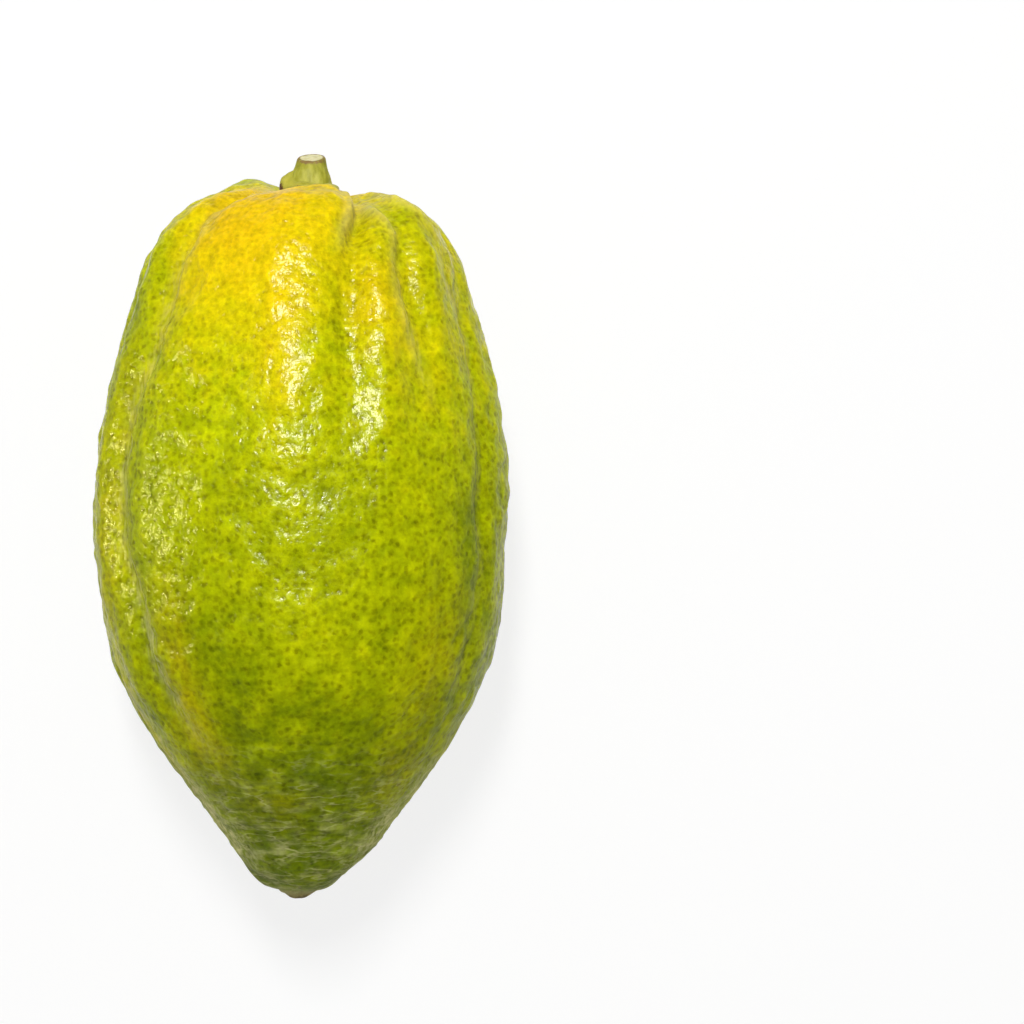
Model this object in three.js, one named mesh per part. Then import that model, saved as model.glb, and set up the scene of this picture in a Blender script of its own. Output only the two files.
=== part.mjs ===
// Etrog: one ribbed citron fruit as picked, lying on its side, with its calyx and a cut piece of stem.
// Millimetres. +Z is up, the fruit's axis lies along Y, and the stem end points to +Y.
// The origin is on the surface that the fruit rests on, under the middle of the whole object.
//
// Two numbers name a point of the skin. The arc is its distance along the skin from the middle of the
// crown, where the stem grows, towards the tip. The azimuth, in degrees, turns about the fruit's axis:
// 0 is +X, 90 is the upper side and 270 is the side that the fruit lies on.

import * as THREE from "three";
import { mergeVertices } from "three/addons/utils/BufferGeometryUtils.js";

// Driving dimensions
const FRUIT_LENGTH = 144; // from the tip to the rim of the crown
const FRUIT_WIDTH = 84.6; // across X at the widest place, before the ribs
const UPPER_DEPTH = 0.95; // depth of the upper half, as a share of half the width
const LOWER_DEPTH = 0.93; // the same for the half that the fruit lies on
const AXIS_HEIGHT = 37.4; // of the fruit's axis above the surface that it rests on
const JOIN_GAP = 0.35; // clearance between pieces that grow on each other

const CALYX_RADIUS = 6.6;
const CALYX_THICKNESS = 3.2; // in the middle
const CALYX_LOBES = 5;
const CALYX_NOTCH = 0.16; // depth of the notches between its lobes, as a share of its radius
const CALYX_ASIDE = 1.1; // its middle is this far to the +X side of the axis
const SWOLLEN_LOBE = 168; // azimuth of the calyx's thickest lobe
const SWOLLEN_THICKNESS = 6.7; // of that lobe, near its root
const THIN_THICKNESS = 2.4; // of the other lobes, near their roots

const STEM_RADIUS = 3.3;
const STEM_LENGTH = 5.6;
const STEM_LEAN = 0.35; // of its top towards +X
const CUT_SLOPE_X = 0.02; // rise of the stem's cut face along X
const CUT_SLOPE_Z = -0.4; // and along Z

const STYLE_RADIUS = 4;
const STYLE_HEIGHT = 1.5;
const STYLE_ASIDE = -1.2;

// Fineness of the fruit's mesh
const FACES_AROUND = 84;
const FACES_ALONG = 58;
const RINGS_CROWDED = 0.45; // how much closer than the average the rings of faces lie at the ends

// Outline of the fruit from its tip to the middle of the crown, before ribs and furrows:
// [share of the length above the tip, share of half the width]
const OUTLINE = [
  [0, 0],
  [0.003, 0.115],
  [0.03, 0.25],
  [0.1, 0.435],
  [0.215, 0.718],
  [0.329, 0.907],
  [0.451, 0.982],
  [0.581, 0.99],
  [0.722, 0.928],
  [0.841, 0.826],
  [0.917, 0.735],
  [0.967, 0.59],
  [0.993, 0.41],
  [0.999, 0.32],
  [0.995, 0.2],
  [0.983, 0.09],
  [0.981, 0],
];

// Furrows between the ribs, named by where they run. Each point is [arc, azimuth, depth].
const FURROWS = {
  besideFrontLobe: {
    width: 3.6,
    points: [[5, 30, 0], [13, 42, 2.3], [23, 56, 3.2], [31, 62.5, 2.9], [40, 69.5, 1.9],
      [52, 72.3, 1.6], [68, 73.5, 1], [92, 80, 0]],
  },
  rightShoulder: {
    width: 3.2,
    points: [[8, 8, 0], [18, 33, 1.3], [27, 45, 1.7], [38, 49, 1.7], [46, 51, 1.5], [55, 48.5, 0.9],
      [72, 44, 0]],
  },
  rightFlank: {
    width: 2.8,
    points: [[14, -10, 0], [37, 10, 1.1], [50, 20.5, 1.4], [60, 22.8, 1.3], [78, 25, 1.4],
      [92, 27.5, 1.5], [104, 26.5, 1.3], [118, 29, 0.9], [135, 27, 0.4], [165, 20, 0]],
  },
  leftFront: {
    width: 3.2,
    points: [[6, 112, 0], [21, 127, 2.1], [31, 133.5, 1.9], [45, 137.5, 1.8], [58, 138, 1.6],
      [72, 145.5, 1.6], [97, 146, 1.7], [109, 139.5, 1.6], [123, 139, 1.3], [133, 133, 0.9],
      [147, 124, 0]],
  },
  leftFlank: {
    width: 3,
    points: [[8, 160, 0], [18, 166, 1.3], [40, 163, 1.4], [90, 169, 1.7], [139, 169, 1.2], [170, 147, 0]],
  },
  leftBack: {
    width: 3.4,
    points: [[7, 192, 0], [17, 196, 1], [66, 199, 1.7], [118, 198, 1.2], [158, 196, 0]],
  },
  lowerLeft: {
    width: 3.6,
    points: [[7, 232, 0], [18, 229, 1.8], [70, 231, 1.5], [124, 232, 1.2], [162, 230, 0]],
  },
  betweenFeet: {
    width: 6,
    points: [[12, 268, 0], [30, 269, 1.4], [60, 270, 3], [95, 270, 3.2], [125, 271, 2.2], [166, 268, 0]],
  },
  lowerRight: {
    width: 3.4,
    points: [[7, 300, 0], [18, 304, 1.7], [44, 306, 1.9], [100, 306, 1.3], [152, 308, 0]],
  },
  rightBack: {
    width: 3.2,
    points: [[7, 334, 0], [18, 331, 1.6], [40, 334, 1.8], [94, 334, 1.6], [160, 336, 0]],
  },
};

// Ribs that stand proud of the outline, in the same form. Their third number is a height.
const RIBS = {
  frontLobe: {
    width: 7.5,
    points: [[12, 95, 0], [30, 92, 1], [58, 89, 1.5], [74, 88, 1.3], [90, 88, 0]],
  },
  middleRib: {
    width: 4.2,
    points: [[18, 50, 0], [28, 56, 0.8], [40, 59.5, 1.4], [50, 61, 2.1], [66, 62.5, 2.1],
      [80, 62.5, 1.1], [98, 66, 0]],
  },
  shoulderRib: {
    width: 5.5,
    points: [[16, 22, 0], [28, 38, 1.6], [38, 42, 2.5], [48, 42.5, 2.1], [70, 38, 0]],
  },
  rightRib: {
    width: 6,
    points: [[48, 4, 0], [62, 7, 0.9], [79, 9, 0.8], [108, 6, 0]],
  },
  leftRib: {
    width: 5,
    points: [[18, 150, 0], [45, 151, 0.9], [90, 157, 1.1], [142, 144, 0]],
  },
  leftFoot: {
    width: 7,
    points: [[35, 252, 0], [62, 253, 0.7], [118, 254, 0.8], [145, 253, 0]],
  },
  rightFoot: {
    width: 7,
    points: [[35, 288, 0], [62, 287, 0.7], [118, 286, 0.8], [145, 287, 0]],
  },
};

// Single swellings and, where the height is negative, dimples
const LUMPS = [
  { arc: 13, azimuth: 212, radius: 8.5, height: 3.2 },
  { arc: 22, azimuth: 194, radius: 9, height: 0.9 },
  { arc: 62, azimuth: 8, radius: 24, height: -0.6 },
  { arc: 19, azimuth: 335, radius: 9, height: 0.9 },
  { arc: 33, azimuth: 69, radius: 4, height: -0.9 },
  { arc: 26, azimuth: 73, radius: 5, height: 1 },
  { arc: 13, azimuth: 76, radius: 5, height: 0.4 },
  { arc: 14, azimuth: 106, radius: 8, height: -1.2 },
  { arc: 12, azimuth: 12, radius: 8, height: -0.8 },
  { arc: 48, azimuth: 127, radius: 4, height: -0.9 },
  { arc: 56, azimuth: 124, radius: 8, height: 0.9 },
  { arc: 94, azimuth: 181, radius: 24, height: 1.2 },
  { arc: 121, azimuth: 92, radius: 14, height: 0.7 },
  { arc: 132, azimuth: 110, radius: 10, height: -0.6 },
  { arc: 177, azimuth: 180, radius: 5, height: 1 },
  { arc: 129, azimuth: 178, radius: 12, height: 0.8 },
  { arc: 99, azimuth: 2, radius: 9, height: -1 },
  { arc: 175, azimuth: 0, radius: 6, height: -1 },
];

const { clamp, degToRad, lerp, radToDeg, smoothstep } = THREE.MathUtils;

const outline = new THREE.CatmullRomCurve3(
  OUTLINE.map(([along, across]) => new THREE.Vector3((across * FRUIT_WIDTH) / 2, along * FRUIT_LENGTH, 0)),
  false,
  "centripetal",
);
outline.arcLengthDivisions = 2000;
const ARC_LENGTH = outline.getLength();

// The azimuth and depth of a furrow or rib where it crosses an arc, or null beyond its ends.
// Each stretch between two points leaves and arrives at the slope of its neighbours.
function crossing(points, arc) {
  const last = points.length - 1;
  if (arc <= points[0][0] || arc >= points[last][0]) return null;
  const i = points.findIndex((point) => point[0] >= arc) - 1;
  const step = points[i + 1][0] - points[i][0];
  const t = (arc - points[i][0]) / step;
  const slope = (k, column) => {
    const before = points[Math.max(k - 1, 0)];
    const after = points[Math.min(k + 1, last)];
    return ((after[column] - before[column]) / (after[0] - before[0])) * step;
  };
  return [1, 2].map((column) => {
    const from = points[i][column];
    const rise = points[i + 1][column] - from;
    const leaving = slope(i, column) * t * (1 - t) ** 2;
    const arriving = slope(i + 1, column) * t * t * (1 - t);
    return from + rise * t * t * (3 - 2 * t) + leaving - arriving;
  });
}

// Distance around the fruit between two azimuths, where its outline has this radius.
function around(from, to, radius) {
  const turn = ((((to - from + 180) % 360) + 360) % 360) - 180;
  return degToRad(turn) * radius;
}

// Height of the ribs, furrows and lumps at a point of the skin.
function relief(arc, azimuth, radius) {
  const across = ({ width, points }) => {
    const found = crossing(points, arc);
    return found ? found[1] * Math.exp(-((around(found[0], azimuth, radius) / width) ** 2)) : 0;
  };
  let height = 0;
  for (const furrow of Object.values(FURROWS)) height -= across(furrow);
  for (const rib of Object.values(RIBS)) height += across(rib);
  for (const lump of LUMPS) {
    const away = Math.hypot(arc - lump.arc, around(lump.azimuth, azimuth, radius));
    height += lump.height * Math.exp(-((away / lump.radius) ** 2));
  }
  return height * smoothstep(radius, 1, 9);
}

// A point of the skin, with the fruit's axis still on the Y axis and its tip at the origin.
function skinPoint(arc, azimuth) {
  const share = clamp(1 - arc / ARC_LENGTH, 0, 1);
  const { x: radius, y: along } = outline.getPointAt(share);
  const tangent = outline.getTangentAt(share);
  const rise = relief(arc, azimuth, radius);
  const reach = radius + rise * tangent.y;
  const across = Math.cos(degToRad(azimuth));
  const up = Math.sin(degToRad(azimuth));
  const depth = up > 0 ? UPPER_DEPTH : LOWER_DEPTH;
  return new THREE.Vector3(reach * across, along - rise * tangent.x, reach * up * depth);
}

// Moves each vertex of a geometry to where place puts it, and joins those that meet.
function reshape(geometry, place) {
  geometry.deleteAttribute("normal");
  geometry.deleteAttribute("uv");
  const position = geometry.getAttribute("position");
  const vertex = new THREE.Vector3();
  for (let i = 0; i < position.count; i++) {
    const moved = place(vertex.fromBufferAttribute(position, i));
    position.setXYZ(i, moved.x, moved.y, moved.z);
  }
  const joined = mergeVertices(geometry, 1e-4);
  joined.computeVertexNormals();
  return joined;
}

// The fruit, with a flat place under each foot.
function fruitGeometry() {
  return reshape(new THREE.SphereGeometry(1, FACES_AROUND, FACES_ALONG), ({ x, y, z }) => {
    const polar = Math.acos(clamp(y, -1, 1));
    const fromCrown = (polar - (RINGS_CROWDED / 2) * Math.sin(2 * polar)) / Math.PI;
    const point = skinPoint(fromCrown * ARC_LENGTH, radToDeg(Math.atan2(z, x)));
    point.z = Math.max(point.z, -AXIS_HEIGHT);
    return point;
  });
}

// A low cushion that grows on the skin at one end of the fruit: end is 1 at the crown and -1 at the tip.
// Its underside follows the skin, and its middle lies aside from the axis.
function cushionGeometry(end, aside, [faces, rings], edgeAt, thicknessAt) {
  return reshape(new THREE.SphereGeometry(1, faces, rings), ({ x, y, z }) => {
    const azimuth = radToDeg(Math.atan2(z, x));
    const share = Math.min(Math.hypot(x, z), 1);
    const across = aside + share * edgeAt(azimuth) * Math.cos(degToRad(azimuth));
    const up = share * edgeAt(azimuth) * Math.sin(degToRad(azimuth));
    const fromPole = Math.hypot(across, up);
    const point = skinPoint(end > 0 ? fromPole : ARC_LENGTH - fromPole, radToDeg(Math.atan2(up, across)));
    point.y += end * (JOIN_GAP + Math.sqrt(Math.max(end * y, 0)) * thicknessAt(share, azimuth));
    return point;
  });
}

// The calyx: five short lobes round a thick middle. One lobe is swollen and the rest are thin.
function calyxGeometry() {
  const edge = (azimuth) => {
    const lobe = (1 + Math.cos(degToRad(CALYX_LOBES * (azimuth - SWOLLEN_LOBE)))) / 2;
    return CALYX_RADIUS * (1 - CALYX_NOTCH * (1 - lobe));
  };
  const thickness = (share, azimuth) => {
    const swelling = Math.exp(-((around(SWOLLEN_LOBE, azimuth, 1) / 0.8) ** 2));
    const lobe = lerp(THIN_THICKNESS, SWOLLEN_THICKNESS, swelling);
    return lerp(CALYX_THICKNESS, lobe, smoothstep(share, 0.6, 0.78));
  };
  return cushionGeometry(1, CALYX_ASIDE, [40, 20], edge, thickness);
}

// The dried foot of the flower's style, at the tip.
function styleStubGeometry() {
  const edge = (azimuth) => STYLE_RADIUS * (1 + 0.08 * Math.cos(degToRad(3 * azimuth + 40)));
  return cushionGeometry(-1, STYLE_ASIDE, [28, 14], edge, () => STYLE_HEIGHT);
}

// The stem: a short stub that narrows upwards and leans a little, cut off aslant.
function stemGeometry() {
  const profile = [
    [0, 0],
    [1.06, 0],
    [1.09, 0.08],
    [1.03, 0.6],
    [0.98, 0.8],
    [0.88, 0.95],
    [0.82, 1],
    [0, 1],
  ].map(([across, up]) => new THREE.Vector2(across * STEM_RADIUS, up * STEM_LENGTH));
  const foot = skinPoint(0, 0).y + CALYX_THICKNESS + 2 * JOIN_GAP;
  return reshape(new THREE.LatheGeometry(profile, 28), ({ x, y, z }) => {
    const up = y / STEM_LENGTH;
    const cut = (CUT_SLOPE_X * x + CUT_SLOPE_Z * z) * smoothstep(up, 0.5, 1);
    return new THREE.Vector3(CALYX_ASIDE + x + STEM_LEAN * up, foot + y + cut, z);
  });
}

function piece(name, geometry, color, roughness) {
  const mesh = new THREE.Mesh(geometry, new THREE.MeshStandardMaterial({ color, roughness, metalness: 0 }));
  mesh.name = name;
  return mesh;
}

const etrog = new THREE.Group();
etrog.name = "etrog";
etrog.add(
  piece("fruit", fruitGeometry(), 0xb4bb14, 0.35),
  piece("calyx", calyxGeometry(), 0x8f9a35, 0.6),
  piece("stem", stemGeometry(), 0x86913a, 0.7),
  piece("style_stub", styleStubGeometry(), 0x6d6440, 0.85),
);

// The resting surface is at z = 0, and the whole object is centred over the origin.
const bounds = new THREE.Box3().setFromObject(etrog);
const middle = bounds.getCenter(new THREE.Vector3());
etrog.position.set(-middle.x, -middle.y, -bounds.min.z);

export default etrog;
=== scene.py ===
"""One etrog: a ribbed green and yellow citron on its side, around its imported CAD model.

+Z is up, the fruit's axis lies along Y, and the stem end points to +Y. Blender's lengths are metres.
The tables and formulas of the shapes are in millimetres, with the tip at Y = 0, like the CAD model's.

Two numbers name a point of the skin. The arc is its distance along the skin from the middle of the
crown, where the stem grows, towards the tip. The azimuth, in degrees, turns about the fruit's axis:
0 is +X, 90 is the upper side and 270 is the side that the fruit lies on.
"""

import math
from types import SimpleNamespace

import bpy
import numpy as np
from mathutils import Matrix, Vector, noise


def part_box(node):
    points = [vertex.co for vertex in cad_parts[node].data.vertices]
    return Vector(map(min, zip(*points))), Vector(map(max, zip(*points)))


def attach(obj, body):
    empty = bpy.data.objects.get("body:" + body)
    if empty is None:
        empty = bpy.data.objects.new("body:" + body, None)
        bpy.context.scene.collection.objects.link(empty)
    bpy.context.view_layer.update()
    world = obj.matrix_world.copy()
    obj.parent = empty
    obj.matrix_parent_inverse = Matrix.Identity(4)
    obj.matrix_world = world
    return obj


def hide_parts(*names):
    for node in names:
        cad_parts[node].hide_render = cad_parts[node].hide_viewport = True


MM = 0.001

# Size and form of the fruit, as in the CAD model
FRUIT_LENGTH = 144
FRUIT_WIDTH = 84.6
UPPER_DEPTH = 0.95
LOWER_DEPTH = 0.93
AXIS_HEIGHT = 37.4

# [share of the length above the tip, share of half the width]
OUTLINE = [
    [0, 0],
    [0.003, 0.115],
    [0.03, 0.25],
    [0.1, 0.435],
    [0.215, 0.718],
    [0.329, 0.907],
    [0.451, 0.982],
    [0.581, 0.99],
    [0.722, 0.928],
    [0.841, 0.826],
    [0.917, 0.735],
    [0.967, 0.59],
    [0.993, 0.41],
    [0.999, 0.32],
    [0.995, 0.2],
    [0.983, 0.09],
    [0.981, 0],
]

# Furrows between the ribs: width, then [arc, azimuth, depth] along each
FURROWS = {
    "beside_front_lobe": [3.6, [[5, 30, 0], [13, 42, 2.3], [23, 56, 3.2], [31, 62.5, 2.9], [40, 69.5, 1.9],
                                [52, 72.3, 1.6], [68, 73.5, 1], [92, 80, 0]]],
    "right_shoulder": [3.2, [[8, 8, 0], [18, 33, 1.3], [27, 45, 1.7], [38, 49, 1.7], [46, 51, 1.5],
                             [55, 48.5, 0.9], [72, 44, 0]]],
    "right_flank": [2.8, [[14, -10, 0], [37, 10, 1.1], [50, 20.5, 1.4], [60, 22.8, 1.3], [78, 25, 1.4],
                          [92, 27.5, 1.5], [104, 26.5, 1.3], [118, 29, 0.9], [135, 27, 0.4], [165, 20, 0]]],
    "left_front": [3.2, [[6, 112, 0], [21, 127, 2.1], [31, 133.5, 1.9], [45, 137.5, 1.8], [58, 138, 1.6],
                         [72, 145.5, 1.6], [97, 146, 1.7], [109, 139.5, 1.6], [123, 139, 1.3],
                         [133, 133, 0.9], [147, 124, 0]]],
    "left_flank": [3, [[8, 160, 0], [18, 166, 1.3], [40, 163, 1.4], [90, 169, 1.7], [139, 169, 1.2],
                       [170, 147, 0]]],
    "left_back": [3.4, [[7, 192, 0], [17, 196, 1], [66, 199, 1.7], [118, 198, 1.2], [158, 196, 0]]],
    "lower_left": [3.6, [[7, 232, 0], [18, 229, 1.8], [70, 231, 1.5], [124, 232, 1.2], [162, 230, 0]]],
    "between_feet": [6, [[12, 268, 0], [30, 269, 1.4], [60, 270, 3], [95, 270, 3.2], [125, 271, 2.2],
                         [166, 268, 0]]],
    "lower_right": [3.4, [[7, 300, 0], [18, 304, 1.7], [44, 306, 1.9], [100, 306, 1.3], [152, 308, 0]]],
    "right_back": [3.2, [[7, 334, 0], [18, 331, 1.6], [40, 334, 1.8], [94, 334, 1.6], [160, 336, 0]]],
}

# Ribs, in the same form, with heights
RIBS = {
    "front_lobe": [7.5, [[12, 95, 0], [30, 92, 1], [58, 89, 1.5], [74, 88, 1.3], [90, 88, 0]]],
    "middle_rib": [4.2, [[18, 50, 0], [28, 56, 0.8], [40, 59.5, 1.4], [50, 61, 2.1], [66, 62.5, 2.1],
                         [80, 62.5, 1.1], [98, 66, 0]]],
    "shoulder_rib": [5.5, [[16, 22, 0], [28, 38, 1.6], [38, 42, 2.5], [48, 42.5, 2.1], [70, 38, 0]]],
    "right_rib": [6, [[48, 4, 0], [62, 7, 0.9], [79, 9, 0.8], [108, 6, 0]]],
    "left_rib": [5, [[18, 150, 0], [45, 151, 0.9], [90, 157, 1.1], [142, 144, 0]]],
    "left_foot": [7, [[35, 252, 0], [62, 253, 0.7], [118, 254, 0.8], [145, 253, 0]]],
    "right_foot": [7, [[35, 288, 0], [62, 287, 0.7], [118, 286, 0.8], [145, 287, 0]]],
}

# The turned edges of the lobes round the crown, which are too sharp for the CAD model
LOBE_EDGES = {
    "front_right": [1.4, [[5, 34, 0], [10, 43, 0.3], [18, 56.5, 1], [27, 64, 1.6], [31, 68, 1.2],
                          [34, 71, 0.6], [40, 74, 0]]],
    "front_left": [1.4, [[8, 108, 0], [14, 114, 0.6], [21, 123, 0.8], [30, 132, 0.7], [36, 129, 0.5],
                         [44, 134, 0.4], [52, 136, 0]]],
    "second": [1.3, [[15, 42, 0], [20, 50, 0.6], [27, 53.5, 0.9], [31, 53, 0.9], [35, 52, 0.6],
                     [42, 55, 0.3], [50, 55.5, 0.5], [58, 53, 0.4], [66, 50, 0]]],
    "third": [1.5, [[13, 12, 0], [19, 27, 0.5], [24, 35, 0.8], [28, 36, 0.9], [32, 31, 0.8], [37, 25, 0.5],
                    [44, 20, 0]]],
}

# Swellings and, where the height is negative, dimples: [arc, azimuth, radius, height]
LUMPS = [
    [13, 212, 8.5, 3.2],
    [22, 194, 9, 0.9],
    [62, 8, 24, -0.6],
    [19, 335, 9, 0.9],
    [33, 69, 4, -0.9],
    [26, 73, 5, 1],
    [13, 76, 5, 0.4],
    [14, 106, 8, -1.2],
    [12, 12, 8, -0.8],
    [48, 127, 4, -0.9],
    [56, 124, 8, 0.9],
    [94, 181, 24, 1.2],
    [121, 92, 14, 0.7],
    [132, 110, 10, -0.6],
    [177, 180, 5, 1],
    [129, 178, 12, 0.8],
    [99, 2, 9, -1],
    [175, 0, 6, -1],
]

# Sharp creases, which the CAD model leaves out, in the same form as the furrows
CREASES = {
    "front_lobe_edge": [1.8, [[5, 30, 0], [12, 41, 0.4], [23.5, 56, 1.5], [30.5, 61.5, 1.5],
                              [35, 65.5, 0.9], [41, 69.5, 0.3], [50, 73, 0.12], [62, 74, 0]]],
    "middle_rib_edge": [1.8, [[14, 32, 0], [22, 43, 0.3], [27, 48.5, 0.5], [31, 49.5, 0.4], [34, 48, 0.2],
                              [44, 52, 0.25], [55, 48.8, 0.15], [62, 46, 0]]],
    "left_flank": [2, [[32, 164, 0], [48, 162, 0.2], [81, 167, 0.3], [120, 171, 0.2], [152, 158, 0]]],
    "left_back": [1.8, [[10, 192, 0], [17, 196, 0.3], [66, 199, 0.4], [118, 198, 0.3], [146, 196, 0]]],
    "lower_left": [1.8, [[10, 232, 0], [18, 229, 0.4], [70, 231, 0.4], [124, 232, 0.2], [146, 231, 0]]],
    "lower_right": [1.8, [[10, 300, 0], [18, 304, 0.4], [44, 306, 0.5], [100, 306, 0.3], [140, 308, 0]]],
    "right_back": [1.8, [[10, 334, 0], [18, 331, 0.4], [40, 334, 0.5], [94, 334, 0.4], [146, 336, 0]]],
}

# Bands of pale, fibrous skin beside the creases and along the lower rims, in the same form, with strengths
# up to 1
VEINS = {
    "left_front": [2, [[22, 126, 0], [34, 131, 0.4], [45, 136.5, 0.6], [58, 137, 0.7], [72, 144.5, 0.6],
                       [97, 145, 0.6], [109, 138, 0.8], [123, 135.5, 0.7], [132, 131, 0.7], [144, 124, 0]]],
    # left_rim and right_rim lie along the lower rims: partly pale fibrous skin, partly painted sheen
    "left_rim": [5, [[86, 170, 0], [100, 168, 0.6], [120, 165, 1.2], [140, 161, 1.5], [160, 155, 1.3],
                     [176, 146, 0]]],
    "right_rim": [4, [[130, 8, 0], [146, 14, 0.7], [160, 22, 0.9], [176, 36, 0]]],
    "second": [1.2, [[30, 53, 0], [42, 55, 0.3], [52, 54, 0.5], [62, 50, 0.4], [72, 46, 0]]],
    "third": [1.6, [[14, 14, 0], [24, 34, 0.4], [32, 30, 0.5], [44, 19, 0.3], [56, 21, 0]]],
    "lower_left": [1.8, [[14, 231, 0], [40, 228, 0.6], [120, 230, 0.7], [150, 229, 0]]],
    "right_back": [1.8, [[14, 332, 0], [40, 336, 0.6], [110, 336, 0.7], [148, 337, 0]]],
}

# Ripeness of the skin, from 0, deep green, to 1, golden. Along the arc, then in patches.
RIPENESS = [[0, 0.58], [20, 0.52], [45, 0.46], [75, 0.37], [110, 0.31], [125, 0.24], [140, 0.17],
            [160, 0.05], [190, 0]]
PATCHES = {
    # name: [arc, azimuth, length along the arc, width around, change of ripeness]
    "golden_lobe": [29, 99, 24, 14, 0.4],
    "golden_left": [34, 122, 22, 12, 0.25],
    "golden_crown": [18, 140, 12, 10, 0.15],
    "green_back_lobe": [12, 205, 9, 9, -0.2],
    "lobe_streak": [62, 93, 16, 5, 0.22],
    "rib_streak": [50, 63, 8, 5, 0.26],
    "green_shoulder": [33, 34, 12, 7, -0.04],
    "right_middle": [62, 50, 20, 14, 0.09],
    "right_top": [30, 32, 18, 16, 0.05],
    "green_left": [48, 158, 20, 8, -0.2],
    "ochre_low_left": [118, 126, 12, 4, 0.14],
    "ochre_narrow_left": [134, 127, 8, 5, 0.2],
    "green_dent": [115, 116, 6, 6, -0.07],
    "yellow_low": [119, 80, 11, 10, 0.1],
    "ochre_low_right": [124, 46, 12, 8, 0.12],
    "left_edge": [100, 152, 22, 6, 0.1],
    "green_right": [97, 34, 18, 5, -0.11],
    "underside": [90, 265, 50, 26, 0.3],
    # The two rim patches below are painted light: riper, lighter colour along the lower rims near the
    # narrow end
    "painted_light_left_rim": [146, 165, 24, 12, 0.22],
    "painted_light_right_rim": [152, 14, 24, 11, 0.18],
}

# Patches of ochre, in the same form, with strengths up to 1
OCHRE = {
    "left_top": [66, 148, 14, 4, 0.4],
    "left_edge": [100, 153, 24, 5, 0.6],
    "low_left": [118, 126, 13, 4.5, 0.9],
    "narrow_left": [137, 128, 11, 7, 0.8],
    "low_right": [120, 44, 14, 8, 0.6],
    "narrow_right": [146, 42, 10, 8, 0.5],
    "narrow_middle": [155, 100, 6, 8, 0.35],
}

# Spacing of the oil glands along the arc
GLAND_SPACING = [[0, 1.3], [30, 1.4], [60, 1.6], [100, 1.75], [150, 1.75], [190, 1.5]]
FINE_SPACING = 1.5  # of the small glands between the others
GLAND_RANDOMNESS = 0.85
GLAND_WANDER = 0.7  # how far noise shifts the glands, in units of their spacing
GORES = 8  # strips from pole to pole, each with its own flat pattern of glands
GORE_SHIFT = 53.7  # takes each strip to another part of the endless pattern
MAP_SHIFT = 11  # takes the second map's strips further, for each column that it is turned by

# Heights of the fine relief, which only this model has
SWELL_HEIGHT = 0.38
PEBBLE_HEIGHT = 0.4
CREST_HEIGHT = 0.22
FOLD_HEIGHT = 0.05  # for each millimetre of the furrow's depth
FOLD_SPACING = 2.6  # across the furrow

# Fineness of the fruit's mesh
COLUMNS = 336
ROWS = 292
ROWS_CROWDED = 0.25  # share by which the rows are closer together at both ends

# The pieces that grow on the skin at the fruit's ends
CUSHION_FULLNESS = 0.35  # a power: 1 is a dome, and a smaller one has a flatter top and steeper sides
CUSHION_SUNK = 0.6  # depth of the underside below the skin

CALYX_RADIUS = 6.6
CALYX_ASIDE = 1.1
CALYX_LOBES = 5
CALYX_NOTCH = 0.16  # share of the radius by which the gaps between the lobes cut in
SWOLLEN_LOBE = 168  # azimuth about the calyx's middle
SWELLING_WIDTH = 0.75  # in radians
# [distance from the middle, height above the skin] of the thin lobes and of the swollen one
THIN_LOBE = [[2.8, 5.9], [3.3, 5.4], [3.8, 4.8], [4.3, 4.2], [5, 3.8], [6, 3.8], [6.6, 4]]
SWOLLEN_LOBE_PROFILE = [[2.8, 7.2], [3.4, 7.1], [4.4, 6.7], [5.2, 6.2], [6.2, 5.8], [6.6, 5.2]]

STEM_FOOT = 3.9  # above the middle of the crown
STEM_LENGTH = 5.6
STEM_LEAN = 0.35  # to +X, over the stem's length
# [share of the stem's length above the calyx, radius]
STEM_PROFILE = [[-0.3, 4.8], [0, 4.5], [0.25, 4.1], [0.45, 3.7], [0.65, 3.27], [0.84, 3.05],
                [0.95, 2.9], [1, 2.65]]
CUT_RADIUS = 2.6
CUT_RINGS = [0.15, 0.3, 0.45, 0.6, 0.75, 0.88, 0.96]  # shares of the cut's radius
CUT_SLOPE_X = 0.02  # rise of the cut for each millimetre to +X
CUT_SLOPE_Z = -0.4

STYLE_RADIUS = 4.2
STYLE_ASIDE = -1.2
# [share of its radius, height above the tip]
STYLE_PROFILE = [[0, 1.7], [0.25, 1.65], [0.5, 1.3], [0.65, 0.9], [0.8, 0.5], [1, 0.25]]

# Colours of the skin and of its glands, from unripe at 0 to ripe at 1
SKIN_COLOURS = [
    (0, "#586b06"),
    (0.2, "#869602"),
    (0.4, "#b3bb03"),
    (0.55, "#c8c104"),
    (0.75, "#dac306"),
    (1, "#dfba0a"),
]
GLAND_COLOURS = [
    (0, "#425001"),
    (0.2, "#636a00"),
    (0.4, "#878800"),
    (0.55, "#a29a01"),
    (0.75, "#c6a802"),
    (1, "#cfa204"),
]

# Shares that the place is squeezed to where patterns are drawn out
SQUEEZED_AROUND = 0.38
SQUEEZED_ALONG = 0.2

# Refractive indices. They are low, so that the white floor's reflection doesn't grey the steep sides.
RIND_IOR = 1.1
END_PIECES_IOR = 1.15

# [distance from the middle, height] of the backdrop, and the share of its light that is its own
BACKDROP_PROFILE = [[2400, 0], [2600, 10], [2800, 60], [2930, 160], [2980, 300], [3000, 600]]
BACKDROP_SELF_LIT = 0.82

# Where the two lamps above the fruit and the one on its left are, and the points they face, in metres
LAMP_PLACE = (-0.02, 0.36, 0.85)
LAMP_AIM = (0, 0.02, 0.04)
LEFT_PLACE = (-0.83, 0, 0.25)
LEFT_AIM = (0, 0, 0.04)
GOLDEN = (1, 0.88, 0.4)


def smooth(value, low, high):
    """From 0 to 1, smoothly, as the value goes from low to high."""
    t = np.clip((value - low) / (high - low), 0, 1)
    return t * t * (3 - 2 * t)


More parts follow.
